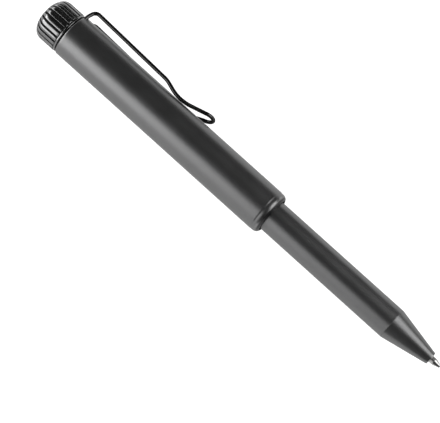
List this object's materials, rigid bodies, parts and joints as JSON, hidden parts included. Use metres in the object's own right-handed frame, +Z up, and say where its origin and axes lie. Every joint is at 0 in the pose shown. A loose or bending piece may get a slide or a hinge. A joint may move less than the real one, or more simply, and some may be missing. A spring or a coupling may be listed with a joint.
{
  "type": "reversible metal pocket ballpoint pen",
  "caption": "Metal pocket pen: a fluted knob and a hairpin wire clip on an outer barrel, and a slimmer pen unit that draws out and turns end for end.",
  "frame": {"origin": "the middle of the knob's flat end face, on the pen's axis", "axes": "+X along the pen towards the writing point, +Z up with the pen lying on its barrel and clip, +Y towards the side on which the clip lies"},
  "size_m": [0.15, 0.0165, 0.0132],
  "materials": {
    "barrel_satin": "satin black, brushed round",
    "gloss_black": "gloss black",
    "clip_black": "gloss black spring wire",
    "nickel": "bright nickel",
    "bright_steel": "bright",
    "carbide": "polished",
    "rubber": "matt black",
    "acetal": "white"
  },
  "bodies": {
    "barrel": {"outer_barrel": "barrel_satin", "bore_o_ring": "rubber"},
    "clip_mount": {"clip_collar": "gloss_black"},
    "knob": {"end_knob": "gloss_black", "knob_o_ring": "rubber"},
    "clip": {"clip_wire": "clip_black"},
    "grip_ring": {"grip_o_ring": "rubber"},
    "pen_unit": {"inner_barrel": "barrel_satin", "rear_plug": "barrel_satin", "refill_spring": "bright_steel"},
    "nose_ring": {"nose_o_ring": "rubber"},
    "nose": {"nose_cone": "barrel_satin"},
    "refill": {"refill_tube": "bright_steel", "refill_point": "nickel", "refill_bush": "acetal"},
    "ball": {"writing_ball": "carbide"}
  },
  "joints": [
    {"name": "knob_travel", "type": "slide", "parent": "barrel", "child": "clip_mount", "axis": [-1, 0, 0], "range_m": [0, 0.005]},
    {"name": "knob_unscrew", "type": "hinge", "parent": "clip_mount", "child": "knob", "pos_m": [0, 0, 0], "axis": [-1, 0, 0], "range_deg": [0, 2400]},
    {"name": "clip_lift", "type": "hinge", "parent": "clip_mount", "child": "clip", "pos_m": [0.0102, 0.00378, -0.00097], "axis": [0, 0.2488, 0.9686], "range_deg": [0, 4], "stiffness_Nm_per_rad": 2.5, "springref_deg": -0.57},
    {"name": "unit_draw", "type": "slide", "parent": "barrel", "child": "grip_ring", "axis": [1, 0, 0], "range_m": [0, 0.03]},
    {"name": "unit_turn", "type": "hinge", "parent": "grip_ring", "child": "pen_unit", "pos_m": [0.0852, 0, 0], "axis": [1, 0, 0], "continuous": true},
    {"name": "nose_travel", "type": "slide", "parent": "pen_unit", "child": "nose_ring", "axis": [1, 0, 0], "range_m": [0, 0.0045]},
    {"name": "nose_unscrew", "type": "hinge", "parent": "nose_ring", "child": "nose", "pos_m": [0.1321, 0, 0], "axis": [1, 0, 0], "range_deg": [0, 2160]},
    {"name": "refill_give", "type": "slide", "parent": "pen_unit", "child": "refill", "axis": [1, 0, 0], "range_m": [-0.0008, 0], "stiffness_N_per_m": 400, "springref_m": 0.003, "deforming": ["refill_spring"]},
    {"name": "ball_roll", "type": "hinge", "parent": "refill", "child": "ball", "pos_m": [0.1496, 0, 0], "axis": [0, 1, 0], "continuous": true}
  ],
  "couplings": [
    {"joint": "knob_unscrew", "follows": "knob_travel", "rad_per_m": 8377.5},
    {"joint": "nose_unscrew", "follows": "nose_travel", "rad_per_m": 8377.5}
  ]
}
